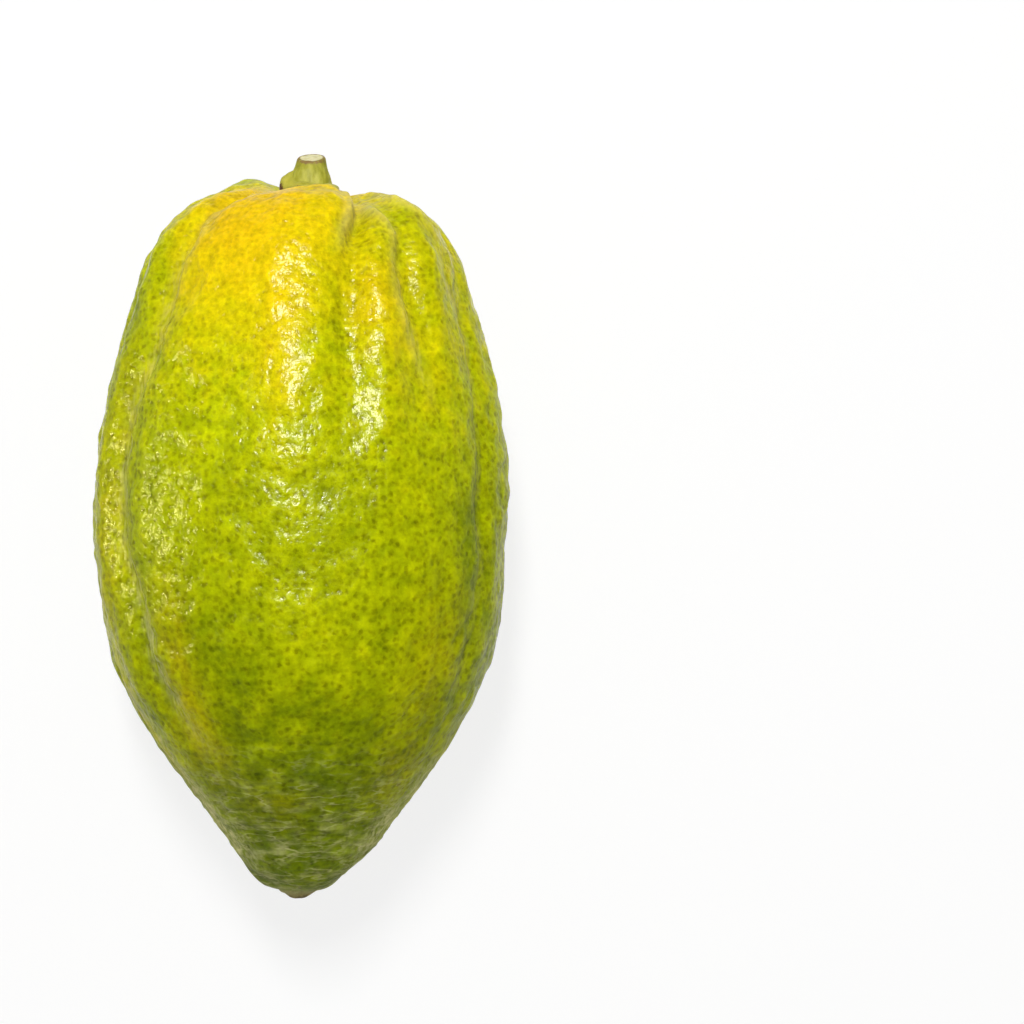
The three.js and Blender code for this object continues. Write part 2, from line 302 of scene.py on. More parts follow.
def graph(points, at):
    """The height of a line graph, given as [place, height] points."""
    places, heights = np.array(points, dtype=float).T
    return np.interp(at, places, heights)


def cubic(start, end, leaving, arriving, t):
    """The cubic curve between two values with these slopes at its ends, a share t of the way along."""
    blend = t * t * (3 - 2 * t)
    return start + (end - start) * blend + leaving * t * (1 - t) ** 2 - arriving * t * t * (1 - t)


def noise_at(points, size, seed):
    """Smooth noise from about -1 to 1 with features of this size, at each of the points."""
    shift = Vector((seed * 17.3, seed * 5.9, seed * 31.7))
    flat = points.reshape(-1, 3) / size
    values = [noise.noise(Vector(point) + shift) for point in flat]
    return np.array(values).reshape(points.shape[:-1])


# The outline


def outline_samples(per_stretch=160):
    """Points along the centripetal Catmull-Rom curve through OUTLINE, from the crown to the tip."""
    knots = np.array([[across * FRUIT_WIDTH / 2, along * FRUIT_LENGTH] for along, across in OUTLINE])
    knots = np.vstack([2 * knots[0] - knots[1], knots, 2 * knots[-1] - knots[-2]])
    t = np.linspace(0, 1, per_stretch, endpoint=False)[:, None]
    stretches = []
    for before, start, end, after in zip(knots, knots[1:], knots[2:], knots[3:]):
        step_in, step, step_out = (
            math.dist(a, b) ** 0.5 for a, b in ((before, start), (start, end), (end, after))
        )
        leaving = (start - before) / step_in - (end - before) / (step_in + step) + (end - start) / step
        arriving = (end - start) / step - (after - start) / (step + step_out) + (after - end) / step_out
        stretches.append(cubic(start, end, leaving * step, arriving * step, t))
    stretches.append(knots[-2:-1])
    return np.vstack(stretches)[::-1]


outline = outline_samples()
outline_steps = np.linalg.norm(np.diff(outline, axis=0), axis=1)
outline_arcs = np.concatenate([[0], np.cumsum(outline_steps)])
outline_slopes = np.gradient(outline, outline_arcs, axis=0)
ARC_LENGTH = outline_arcs[-1]


def radius_at(arc):
    """Distance from the fruit's axis to its outline."""
    return np.interp(arc, outline_arcs, outline[:, 0])


# Relief of the skin


def crossing(points, arc):
    """Azimuth and height of a furrow or rib where it crosses each arc. Beyond its ends the height is 0."""
    knots = np.array(points, dtype=float)
    arcs, values = knots[:, 0], knots[:, 1:]
    last = len(arcs) - 1
    before = np.maximum(np.arange(last + 1) - 1, 0)
    after = np.minimum(np.arange(last + 1) + 1, last)
    slopes = (values[after] - values[before]) / (arcs[after] - arcs[before])[:, None]
    i = np.clip(np.searchsorted(arcs, arc) - 1, 0, last - 1)
    step = (arcs[i + 1] - arcs[i])[..., None]
    t = (arc - arcs[i])[..., None] / step
    middle = cubic(values[i], values[i + 1], slopes[i] * step, slopes[i + 1] * step, t)
    azimuth, height = np.moveaxis(middle, -1, 0)
    return azimuth, np.where((arc > arcs[0]) & (arc < arcs[-1]), height, 0)


def around(start, end, radius):
    """Distance around the fruit between two azimuths, where its outline has this radius."""
    return np.radians((end - start + 180) % 360 - 180) * radius


def lines_height(lines, arc, azimuth, radius):
    """Height that furrows, ribs or other lines add up to. Each falls off smoothly to both sides."""
    total = np.zeros(np.broadcast(arc, azimuth).shape)
    for width, points in lines.values():
        middle, height = crossing(points, arc)
        total += height * np.exp(-((around(middle, azimuth, radius) / width) ** 2))
    return total


def relief(arc, azimuth, radius):
    """Height of the ribs, furrows and lumps that the CAD model has too."""
    height = lines_height(RIBS, arc, azimuth, radius) - lines_height(FURROWS, arc, azimuth, radius)
    for lump_arc, lump_azimuth, lump_radius, lump_height in LUMPS:
        away = np.hypot(arc - lump_arc, around(lump_azimuth, azimuth, radius))
        height += lump_height * np.exp(-((away / lump_radius) ** 2))
    return height * smooth(radius, 1, 9)


def skin(arc, azimuth, more=0):
    """Points of the skin, raised by more than the CAD model's relief where more isn't 0."""
    arc = np.clip(arc, 0, ARC_LENGTH)
    radius = radius_at(arc)
    along = np.interp(arc, outline_arcs, outline[:, 1])
    slope_in = np.interp(arc, outline_arcs, outline_slopes[:, 0])
    slope_along = np.interp(arc, outline_arcs, outline_slopes[:, 1])
    rise = relief(arc, azimuth, radius) + more
    reach = radius - rise * slope_along
    sine, cosine = np.sin(np.radians(azimuth)), np.cos(np.radians(azimuth))
    depth = np.where(sine > 0, UPPER_DEPTH, LOWER_DEPTH)
    return np.stack([reach * cosine, along + rise * slope_in + 0 * azimuth, reach * sine * depth], axis=-1)


def rest_flat(points):
    """The skin's points, with the ribs that the fruit lies on pressed flat."""
    points[..., 2] = np.maximum(points[..., 2], -AXIS_HEIGHT)
    return points


def furrow_nearness(arc, azimuth, radius):
    """1 in the wide furrows and 0 away from them."""
    widened = {name: [1.6 * width, points] for name, (width, points) in FURROWS.items()}
    return np.clip(lines_height(widened, arc, azimuth, radius) / 2, 0, 1)


def fold_height(arc, azimuth, radius, place):
    """Fine folds that run side by side along the furrows."""
    wander = 0.8 * noise_at(place * [0.4, 1, 0.4], size=9, seed=11)
    height = np.zeros(arc.shape)
    for width, points in FURROWS.values():
        middle, depth = crossing(points, arc)
        aside = around(middle, azimuth, radius) + wander
        near = np.exp(-((aside / width) ** 2))
        height += FOLD_HEIGHT * depth * near * np.cos(2 * math.pi * aside / FOLD_SPACING)
    return height * smooth(radius, 4, 12)


def wrinkle_crests(arc, place):
    """From 0 to 1: thin wavy crests that run around the narrow end of the fruit."""
    drawn_out = place * [1, 3.4, 1]
    wander = 3 * noise_at(place, size=8, seed=5)[..., None]
    crests = np.clip(1 - 3.2 * np.abs(noise_at(drawn_out + wander, size=9, seed=3)), 0, 1)
    return crests**1.5 * smooth(arc, 142, 156) * smooth(arc, 184, 172)


def patches_at(patches, arc, azimuth, radius):
    """What the patches add up to. Each fades away from its middle."""
    total = np.zeros(np.broadcast(arc, azimuth).shape)
    for patch_arc, patch_azimuth, length, width, change in patches.values():
        away = np.hypot((arc - patch_arc) / length, around(patch_azimuth, azimuth, radius) / width)
        total += change * np.exp(-(away**2))
    return total


# Meshes


def rings_mesh(name, top, rings, bottom=None):
    """A mesh from a pole and the rings of points around it, from the pole outwards. A second pole closes
    it."""
    count, columns = rings.shape[:2]
    poles = [] if bottom is None else [bottom]
    points = np.vstack([[top], rings.reshape(-1, 3), *poles]) * MM
    corner = 1 + np.arange(count * columns).reshape(count, columns)
    beside = np.roll(corner, -1, axis=1)
    faces = [(0, b, a) for a, b in zip(corner[0], beside[0])]
    quads = np.stack([corner[:-1], beside[:-1], beside[1:], corner[1:]], axis=-1).reshape(-1, 4)
    faces += [tuple(quad) for quad in quads]
    if bottom is not None:
        last = len(points) - 1
        faces += [(last, a, b) for a, b in zip(corner[-1], beside[-1])]
    mesh = bpy.data.meshes.new(name)
    mesh.from_pydata(points.tolist(), [], faces)
    mesh.shade_smooth()
    mesh.validate()
    made = bpy.data.objects.new(name, mesh)
    bpy.context.collection.objects.link(made)
    return made


def store(piece, name, top, rings, bottom):
    """Keeps a number for each point of a piece, which its material reads by name."""
    values = np.concatenate([[top], np.ravel(rings), [bottom]])
    piece.data.attributes.new(name, "FLOAT", "POINT").data.foreach_set("value", values)


# The fruit


def gland_maps(piece, arc, columns):
    """Two flat maps of the fruit in strips, in units of the glands' spacing. Each one's edges lie along
    the middles of the other's strips."""
    fine_arc = np.linspace(0, ARC_LENGTH, 2000)
    glands_along = np.concatenate([[0], np.cumsum(np.diff(fine_arc) / graph(GLAND_SPACING, fine_arc[1:]))])
    row_arcs = np.concatenate([[0], arc, [ARC_LENGTH]])
    along = np.interp(row_arcs, fine_arc, glands_along)
    glands_per_radian = radius_at(row_arcs) / graph(GLAND_SPACING, row_arcs)

    mesh = piece.data
    corners = np.empty(len(mesh.loops), dtype=int)
    mesh.loops.foreach_get("vertex_index", corners)
    row = (corners - 1) // columns + 1
    column = (corners - 1) % columns
    at_pole = (row == 0) | (row > len(arc))
    face = np.repeat(np.arange(len(mesh.polygons)), [len(polygon.vertices) for polygon in mesh.polygons])
    face_column = face % columns
    per_gore = columns // GORES
    for name, offset in (("glands", 0), ("glands_between", per_gore // 2)):
        gore = (face_column + offset) // per_gore
        middle = gore * per_gore - offset + per_gore / 2
        beyond = (column - middle + columns / 2) % columns - columns / 2
        beyond = np.where(at_pole, 0, beyond)
        across = beyond * (2 * math.pi / columns) * glands_per_radian[row]
        own_part = GORE_SHIFT * gore + MAP_SHIFT * offset
        flat = np.stack([across + own_part, along[row]], axis=-1)
        mesh.uv_layers.new(name=name).data.foreach_set("uv", flat.ravel())


def between_share(azimuth):
    """From 0 to 1: how much the second map of glands shows. It does along the first one's edges."""
    strip = 360 / GORES
    from_edge = np.abs((azimuth + strip / 2) % strip - strip / 2)
    return smooth(from_edge, strip / 4 + 1, strip / 4 - 1)


def fruit_grid():
    """Arc and azimuth of the points of the fruit's mesh. Its rows crowd together towards both ends."""
    polar = math.pi * np.arange(1, ROWS) / ROWS
    from_crown = (polar - ROWS_CROWDED / 2 * np.sin(2 * polar)) / math.pi
    azimuth = 360 * np.arange(COLUMNS) / COLUMNS
    return np.broadcast_arrays((from_crown * ARC_LENGTH)[:, None], azimuth)


def fruit_piece(shift):
    """The fruit's skin, with the numbers that its material reads at each point."""
    arc, azimuth = fruit_grid()
    radius = radius_at(arc)
    place = skin(arc, azimuth)
    off_poles = smooth(radius, 1, 7)
    creases = lines_height(CREASES, arc, azimuth, radius) * off_poles
    edges = lines_height(LOBE_EDGES, arc, azimuth, radius) * off_poles
    pebbles = noise_at(place, size=3.6, seed=2) + 0.55 * noise_at(place, size=2.1, seed=4)
    crests = wrinkle_crests(arc, place)

    calm = 1 - 0.6 * smooth(arc, 135, 160)
    detail = (SWELL_HEIGHT * noise_at(place, size=8, seed=1) + PEBBLE_HEIGHT * pebbles) * calm
    detail += CREST_HEIGHT * crests + fold_height(arc, azimuth, radius, place)
    points = rest_flat(skin(arc, azimuth, detail * smooth(radius, 2, 12) + edges - creases))
    fruit = rings_mesh("rind", skin(0, 0) + shift, points + shift, skin(ARC_LENGTH, 0) + shift)

    ripeness = graph(RIPENESS, arc) + patches_at(PATCHES, arc, azimuth, radius)
    vein = np.clip(lines_height(VEINS, arc, azimuth, radius), 0, 1)
    store(fruit, "between", 0, between_share(azimuth), 0)
    store(fruit, "ripeness", 0.5, ripeness, 0.1)
    store(fruit, "ochre", 0, patches_at(OCHRE, arc, azimuth, radius), 0)
    store(fruit, "vein", 0, vein, 0)
    store(fruit, "pebble", 0, pebbles, 0)
    store(fruit, "crest", 0, crests, 0)
    store(fruit, "arc", 0, arc, ARC_LENGTH)
    # lobe_edge also tells the material where to paint a pale sheen along the lobes' turned edges
    store(fruit, "lobe_edge", 0, np.clip(edges, 0, 1), 0)
    store(fruit, "furrow", 0, furrow_nearness(arc, azimuth, radius), 0)
    gland_maps(fruit, arc[:, 0], COLUMNS)
    return fruit


# The pieces at the ends


def cushion_piece(name, end, aside, shift, edge_at, lift_at, columns=144, rows=90):
    """A low cushion that grows on the skin at one end of the fruit: end is 1 at the crown and -1 at the
    tip. Its underside lies just under the skin. Each of its points has a share, from 0 in the middle to 1
    at its edge, an azimuth, and a number above, from 1 on top to -1 underneath."""
    polar = math.pi * np.arange(0, rows + 1) / rows
    azimuth = 360 * np.arange(columns) / columns
    polar, azimuth = np.meshgrid(polar, azimuth, indexing="ij")
    share, above = np.sin(polar), np.cos(polar)
    edge = edge_at(azimuth)
    across = aside + share * edge * np.cos(np.radians(azimuth))
    up = share * edge * np.sin(np.radians(azimuth))
    from_pole = np.hypot(across, up)
    arc = from_pole if end > 0 else ARC_LENGTH - from_pole
    points = skin(arc, np.degrees(np.arctan2(up, across)))
    raised = np.maximum(above, 0) ** CUSHION_FULLNESS * lift_at(share, azimuth)
    points[..., 1] += end * np.where(above > 0, raised, CUSHION_SUNK * above)
    roughness = 0.1 * noise_at(points, size=1.6, seed=6) + 0.05 * noise_at(points, size=0.7, seed=7)
    points += roughness[..., None] * smooth(share, 0, 0.3)[..., None] * [0.5, end, 0.5]
    numbers = {"share": share, "azimuth": azimuth, "above": above}
    if end < 0:
        points = points[::-1]
        numbers = {key: number[::-1] for key, number in numbers.items()}
    points = points + shift
    return rings_mesh(name, points[0, 0], points[1:-1], points[-1, 0]), numbers


def store_cushion(piece, name, numbers):
    store(piece, name, numbers[0, 0], numbers[1:-1], numbers[-1, 0])


def calyx_lobe(azimuth):
    """From 0 between two lobes of the calyx to 1 at the middle of a lobe."""
    return (1 + np.cos(np.radians(CALYX_LOBES * (azimuth - SWOLLEN_LOBE)))) / 2


def calyx_edge(azimuth):
    """Distance from the calyx's middle to its edge, which follows the lobes."""
    return CALYX_RADIUS * (1 - CALYX_NOTCH * (1 - calyx_lobe(azimuth)))


def calyx_lift(share, azimuth):
    """Height above the skin, which is greater around the swollen lobe."""
    swelling = np.exp(-((around(SWOLLEN_LOBE, azimuth, 1) / SWELLING_WIDTH) ** 2))
    outwards = share * CALYX_RADIUS
    thin, swollen = graph(THIN_LOBE, outwards), graph(SWOLLEN_LOBE_PROFILE, outwards)
    return thin + (swollen - thin) * swelling


def calyx_piece(shift):
    calyx, numbers = cushion_piece("calyx_star", 1, CALYX_ASIDE, shift, calyx_edge, calyx_lift)
    lowness = smooth(numbers["share"], 0.9, 1) * smooth(numbers["above"], 0.3, 0.05)
    brown = lowness * (0.2 + 0.8 * calyx_lobe(numbers["azimuth"]))
    store_cushion(calyx, "brown", np.clip(brown, 0, 1))
    return calyx


def stem_piece(shift, columns=112, side_rows=40):
    """The stem's stub, from the middle of its slanting cut down to its foot inside the calyx."""
    side_up = np.linspace(1, STEM_PROFILE[0][0], side_rows)
    up = np.concatenate([np.ones(len(CUT_RINGS)), side_up])[:, None]
    radius = np.concatenate([CUT_RADIUS * np.array(CUT_RINGS), graph(STEM_PROFILE, side_up)])[:, None]
    on_side = np.repeat([0, 1], [len(CUT_RINGS), side_rows])[:, None]
    azimuth = 360 * np.arange(columns) / columns
    up, radius, on_side, azimuth = np.broadcast_arrays(up, radius, on_side, azimuth)
    x = radius * np.cos(np.radians(azimuth))
    z = radius * np.sin(np.radians(azimuth))

    streaks = np.stack([x, up * 1.2, z], axis=-1)
    grain = 0.16 * noise_at(streaks, size=1.5, seed=8) + 0.07 * noise_at(streaks, size=0.6, seed=9)
    grown = 1 + grain * on_side / 3
    worn = 0.12 * noise_at(np.stack([x, 0 * x, z], axis=-1), size=1.1, seed=12) * (1 - on_side)
    cut = (CUT_SLOPE_X * x + CUT_SLOPE_Z * z) * smooth(up, 0.5, 1)
    foot = skin(0, 0)[1] + STEM_FOOT
    y = foot + up * STEM_LENGTH + cut + worn
    points = np.stack([CALYX_ASIDE + x * grown + STEM_LEAN * up, y, z * grown], axis=-1) + shift
    stem = rings_mesh("stem_stub", points[0].mean(axis=0), points, points[-1].mean(axis=0))
    store(stem, "cut", 1, smooth(radius, 2.5, 2.3) * (up > 0.99), 0)
    store(stem, "rim", 0, smooth(up, 0.74, 0.97) * smooth(radius, 2.1, 2.5), 0)
    return stem


def style_edge(azimuth):
    """Slightly three-cornered."""
    return STYLE_RADIUS * (1 + 0.06 * np.cos(np.radians(3 * azimuth + 40)))


def style_lift(share, azimuth):
    """Height above the tip, which is a little greater towards -X."""
    return graph(STYLE_PROFILE, share) - 0.2 * share * np.cos(np.radians(azimuth))


def style_piece(shift):
    style, numbers = cushion_piece("style_foot", -1, STYLE_ASIDE, shift, style_edge, style_lift)
    store_cushion(style, "share", numbers["share"])
    return style


# Materials


def linear(code):
    """The linear colour of an sRGB hex code."""
    channels = [int(code[i : i + 2], 16) / 255 for i in (1, 3, 5)]
    return [c / 12.92 if c <= 0.04045 else ((c + 0.055) / 1.055) ** 2.4 for c in channels] + [1]


class Look:
    """A Principled material, with short ways to add nodes to it. A value is a number or a node's output."""

    def __init__(self, name):
        self.material = bpy.data.materials.new(name)
        self.material.use_nodes = True
        self.tree = self.material.node_tree
        self.shader = self.tree.nodes["Principled BSDF"]
        self.place = self.node("ShaderNodeTexCoord").outputs["Object"]

    def node(self, kind, inputs=None, **settings):
        made = self.tree.nodes.new(kind)
        for key, setting in settings.items():
            setattr(made, key, setting)
        for key, value in (inputs or {}).items():
            self.feed(made.inputs[key], value)
        return made

    def feed(self, socket, value):
        if isinstance(value, bpy.types.NodeSocket):
            self.tree.links.new(value, socket)
        else:
            socket.default_value = value

    def set(self, **inputs):
        """Sets the shader's inputs. A name has _ for each space."""
        for key, value in inputs.items():
            self.feed(self.shader.inputs[key.replace("_", " ")], value)

    def stored(self, name):
        """A number that the mesh keeps for each of its points."""
        return self.node("ShaderNodeAttribute", attribute_name=name).outputs["Fac"]

    def math(self, operation, *values):
        return self.node("ShaderNodeMath", dict(enumerate(values)), operation=operation).outputs[0]

    def vector_math(self, operation, *values):
        return self.node("ShaderNodeVectorMath", dict(enumerate(values)), operation=operation).outputs[0]

    def times(self, value, *others):
        for other in others:
            value = self.math("MULTIPLY", value, other)
        return value

    def total(self, start, *parts):
        """The start plus all the parts. Each part is a value and what it is multiplied by."""
        for value, amount in parts:
            start = self.math("MULTIPLY_ADD", value, amount, start)
        return start

    def ease(self, value, low, high, start=0, end=1):
        """From start to end, smoothly, as the value goes from low to high."""
        inputs = {"Value": value, "From Min": low, "From Max": high, "To Min": start, "To Max": end}
        return self.node("ShaderNodeMapRange", inputs, interpolation_type="SMOOTHSTEP").outputs[0]

    def noise(self, size, detail=2, place=None):
        """Noise from about -1 to 1 with features of this size in millimetres."""
        inputs = {"Vector": place or self.place, "Scale": 1 / (size * MM), "Detail": detail}
        raw = self.node("ShaderNodeTexNoise", inputs).outputs["Fac"]
        return self.math("MULTIPLY_ADD", raw, 3.2, -1.6)

    def ramp(self, value, stops):
        """A colour for each value from 0 to 1, between those of the stops."""
        made = self.node("ShaderNodeValToRGB", {"Fac": value})
        elements = made.color_ramp.elements
        while len(elements) < len(stops):
            elements.new(1)
        for element, (place, code) in zip(elements, stops):
            element.position = place
            element.color = linear(code)
        return made.outputs["Color"]

    def mix(self, share, a, b):
        """The colour a where the share is 0, and b where it is 1."""
        made = self.node("ShaderNodeMix", data_type="RGBA")
        for socket, value in zip((made.inputs[0], made.inputs[6], made.inputs[7]), (share, a, b)):
            self.feed(socket, value)
        return made.outputs[2]

    def bump(self, height):
        """Relief from a height in millimetres."""
        return self.node("ShaderNodeBump", {"Height": height, "Strength": 1, "Distance": MM}).outputs[0]


# The rind


def gland(look):
    """The distance to the nearest oil gland, in units of the glands' spacing, and a number from 0 to 1 of
    that gland's own."""
    wander = look.node("ShaderNodeTexNoise", {"Vector": look.place, "Scale": 1 / (1.2 * MM)})
    warp = look.vector_math("SUBTRACT", wander.outputs["Color"], (0.5, 0.5, 0.5))
    patterns = []
    for name in ("glands", "glands_between"):
        flat = look.node("ShaderNodeUVMap", uv_map=name).outputs[0]
        warped = look.vector_math("MULTIPLY_ADD", warp, (GLAND_WANDER,) * 3, flat)
        inputs = {"Vector": warped, "Scale": 1, "Randomness": GLAND_RANDOMNESS}
        patterns.append(look.node("ShaderNodeTexVoronoi", inputs, voronoi_dimensions="2D").outputs)
    first, second = patterns
    share = look.stored("between")
    own = look.node("ShaderNodeSeparateColor", {"Color": look.mix(share, first["Color"], second["Color"])})
    step = look.math("SUBTRACT", second["Distance"], first["Distance"])
    return look.total(first["Distance"], (step, share)), own.outputs[0]


def fine_glands(look):
    """From 0 to 1: small glands between the others. They are cut out of a solid pattern, so their sizes
    vary."""
    pattern = look.node("ShaderNodeTexVoronoi", {"Vector": look.place, "Scale": 1 / (FINE_SPACING * MM)})
    return look.ease(pattern.outputs["Distance"], 0.45, 0.1)


def ridges(look, place, size):
    """From 0 to 1: crooked ridges with sharp crests, drawn out where place is squeezed."""
    slopes = look.total(1, (look.math("ABSOLUTE", look.noise(size, detail=3, place=place)), -1.5))
    return look.math("MAXIMUM", slopes, 0)


def threads(look, place, size, width):
    """From 0 to 1: thin wavy lines, drawn out where place is squeezed."""
    return look.ease(look.math("ABSOLUTE", look.noise(size, detail=3, place=place)), width, 0)


def squeezed_places(look, arc):
    """Two forms of the place, which draw patterns out around the fruit, and along it."""
    x, y, z = look.node("ShaderNodeSeparateXYZ", {0: look.place}).outputs
    ring = {0: look.times(x, SQUEEZED_AROUND), 1: look.times(arc, MM), 2: look.times(z, SQUEEZED_AROUND)}
    line = {0: x, 1: look.times(y, SQUEEZED_ALONG), 2: z}
    around_fruit = look.node("ShaderNodeCombineXYZ", ring).outputs[0]
    lengthwise = look.node("ShaderNodeCombineXYZ", line).outputs[0]
    return around_fruit, lengthwise


def rind_patterns(look):
    """The patterns that the rind's colour, gloss and relief share."""
    arc, furrow = look.stored("arc"), look.stored("furrow")
    around_fruit, lengthwise = squeezed_places(look, arc)
    away, own = gland(look)
    narrow_end = look.ease(arc, 136, 156)
    thin = look.times(threads(look, around_fruit, size=2.4, width=0.2), narrow_end)
    wide = look.times(look.stored("crest"), 0.5)
    patchy = look.ease(look.noise(4, detail=3), -0.5, 0.5)
    return SimpleNamespace(
        arc=arc,
        around_fruit=around_fruit,
        furrow=furrow,
        pebble=look.stored("pebble"),
        gland_distance=away,
        gland_own=own,
        vein=look.times(look.stored("vein"), look.ease(look.noise(3, detail=3), -0.9, 0.3, 0.4, 1)),
        fibre=look.ease(look.noise(0.8, detail=4, place=lengthwise), -0.4, 0.5, 0.1, 1),
        wrinkle=look.times(look.math("MAXIMUM", thin, wide), patchy),
        ridge=look.times(ridges(look, around_fruit, size=2.6), narrow_end),
        rings=look.times(look.noise(2.2, detail=2, place=around_fruit), narrow_end),
        ripple=look.times(look.noise(1.2, detail=1, place=lengthwise), furrow),
        fold=look.times(threads(look, lengthwise, size=1.8, width=0.35), furrow, look.ease(arc, 35, 60)),
    )


def rind_spots(look, pattern, ripeness):
    """From 0 to 1: how much of the glands' colour shows, in their spots and mottled between them."""
    ragged = look.total(pattern.gland_distance, (look.noise(0.8), 0.12))
    large = look.times(look.ease(ragged, 0.41, 0.12), look.ease(pattern.gland_own, 0.05, 0.95, 0.05, 0.95))
    spots = look.times(look.math("MAXIMUM", large, look.times(fine_glands(look), 0.6)), 0.72)
    mottling = look.ease(look.noise(1.3, detail=4), -0.2, 1.1, 0, 0.6)
    fewer_when_ripe = look.ease(ripeness, 0.5, 0.85, 1, 0.65)
    fewer_on_veins = look.ease(pattern.vein, 0.2, 0.9, 1, 0.3)
    return look.times(look.math("ADD", spots, mottling), fewer_when_ripe, fewer_on_veins)


def rind_shade(look, pattern):
    """How light the skin is: about 1, less in the glands and varied at random. The rest is painted shade,
    partly with darker skin: less in the furrows and along their folds, less in the hollows of the relief
    and its ripples and rings, more on their crests.
    """
    return look.total(
        look.ease(pattern.gland_distance, 0.2, 0.75, 0.95, 1.05),
        (look.noise(1.1, detail=4), 0.2),
        (look.noise(3), 0.16),
        (look.noise(0.45), 0.11),
        # Painted shade from here on: bumps, ripples and rings lighter, furrows and folds darker
        (pattern.pebble, 0.08),
        (pattern.ripple, 0.1),
        (pattern.rings, 0.08),
        (pattern.furrow, -0.1),
        (pattern.fold, -0.1),
    )


def rind_bloom_and_sheen(look, pattern):
    """How pale and dull the skin is: on the fibrous veins, and in wrinkles and haze at the narrow end.
    The pale colour is partly wax bloom and partly painted sheen, on the wrinkles' crests and along the
    lower rims.
    """
    haze = look.noise(3.2, detail=5, place=pattern.around_fruit)
    return look.total(
        look.ease(haze, 0.1, 0.9, 0, look.ease(pattern.arc, 140, 170, 0, 0.45)),
        (pattern.wrinkle, 0.42),
        (pattern.vein, pattern.fibre),
        (look.ease(pattern.arc, 178, 184), 0.5),
    )


def rind_colour(look, pattern, bloom_and_sheen):
    ripeness = look.total(
        look.stored("ripeness"),
        (look.noise(8), look.ease(pattern.arc, 105, 145, 0.07, 0.13)),
        (look.noise(2.8), 0.08),
        # Riper on the relief's bumps than in its hollows: partly the skin's own colour, partly painted
        # shade
        (pattern.pebble, 0.05),
    )
    ochre = look.times(look.stored("ochre"), look.ease(look.noise(3.5, detail=3), -0.9, 0.9, 0.2, 0.9))
    skin_colour = look.mix(ochre, look.ramp(ripeness, SKIN_COLOURS), linear("#b0a205"))
    gland_colour = look.mix(ochre, look.ramp(ripeness, GLAND_COLOURS), linear("#897a02"))
    colour = look.mix(rind_spots(look, pattern, ripeness), skin_colour, gland_colour)
    shaded = {0: colour, "Scale": rind_shade(look, pattern)}
    colour = look.node("ShaderNodeVectorMath", shaded, operation="SCALE").outputs[0]
    fibre_colour = look.mix(look.ease(ripeness, 0.28, 0.45), linear("#d2ce8c"), linear("#d6cc58"))
    colour = look.mix(bloom_and_sheen, colour, fibre_colour)
    # Painted sheen: a pale colour along the turned edges of the lobes round the crown
    return look.mix(look.times(look.stored("lobe_edge"), 0.3), colour, linear("#dcc77c"))


def rind_height(look, pattern):
    """The relief that is finer than the mesh's: the glands' dents, with ridges and wrinkles."""
    dent = look.ease(pattern.vein, 0.2, 0.9, -0.06, -0.02)
    crumpled = look.noise(1.1, detail=1, place=pattern.around_fruit)
    return look.total(
        look.times(look.ease(pattern.gland_distance, 0.5, 0), dent),
        (look.noise(1.5), look.ease(pattern.arc, 90, 30, 0.055, 0.08)),
        (pattern.ripple, 0.035),
        (pattern.rings, 0.08),
        (look.noise(0.5), 0.018),
        (crumpled, look.ease(pattern.arc, 65, 28, 0, 0.06)),
        (pattern.ridge, 0.14),
        (pattern.wrinkle, 0.05),
        (look.times(pattern.vein, pattern.fibre), 0.06),
    )


def rind_material():
    look = Look("rind")
    pattern = rind_patterns(look)
    bloom_and_sheen = rind_bloom_and_sheen(look, pattern)
    roughness = look.total(
        look.ease(pattern.arc, 120, 160, 0.25, 0.5),
        (look.ease(look.noise(1.6), 0, 0.9), -0.12),
        (bloom_and_sheen, 0.25),
    )
    look.set(Base_Color=rind_colour(look, pattern, bloom_and_sheen), Roughness=roughness)
    look.set(Normal=look.bump(rind_height(look, pattern)), IOR=RIND_IOR)
    look.set(Specular_Tint=(1, 0.98, 0.85, 1))
    look.set(Sheen_Weight=0.14, Sheen_Roughness=0.3, Sheen_Tint=linear("#efe6ae"))
    return look.material


# The other materials


def calyx_material():
    look = Look("calyx")
    green = look.ramp(
        look.total(0.5, (look.noise(1.8), 0.3)),
        [(0, "#84851b"), (0.5, "#a8a337"), (1, "#c3ba50")],
    )
    brown = look.total(look.stored("brown"), (look.noise(0.8), 0.35))
    height = look.total(0, (look.noise(0.3), 0.015), (look.noise(0.9), 0.05))
    look.set(Base_Color=look.mix(look.ease(brown, 0.35, 0.8), green, linear("#5a3b22")))
    look.set(Roughness=look.ease(look.noise(1.5), -1, 1, 0.42, 0.56))
    look.set(Normal=look.bump(height), IOR=END_PIECES_IOR)
    return look.material


def stem_material():
    look = Look("stem")
    lengthwise = look.vector_math("MULTIPLY", look.place, (1, 0.35, 1))
    bark = look.ramp(
        look.total(0.5, (look.noise(1.1, place=lengthwise), 0.35)),
        [(0, "#707517"), (0.45, "#989728"), (0.8, "#b7b344"), (1, "#cac464")],
    )
    pith = look.ramp(
        look.total(0.5, (look.noise(0.9), 0.4)),
        [(0, "#a8a574"), (0.5, "#d6cf9c"), (1, "#e2e2c4")],
    )
    colour = look.mix(look.stored("cut"), bark, pith)
    rim = look.total(look.stored("rim"), (look.noise(0.9, detail=4), 0.8))
    height = look.total(0, (look.noise(0.2), 0.02), (look.noise(0.6, place=lengthwise), 0.06))
    look.set(Base_Color=look.mix(look.ease(rim, 0.35, 1.1, 0, 0.85), colour, linear("#80603a")))
    look.set(Roughness=look.ease(look.noise(1), -1, 1, 0.5, 0.68))
    look.set(Normal=look.bump(height), IOR=END_PIECES_IOR)
    return look.material


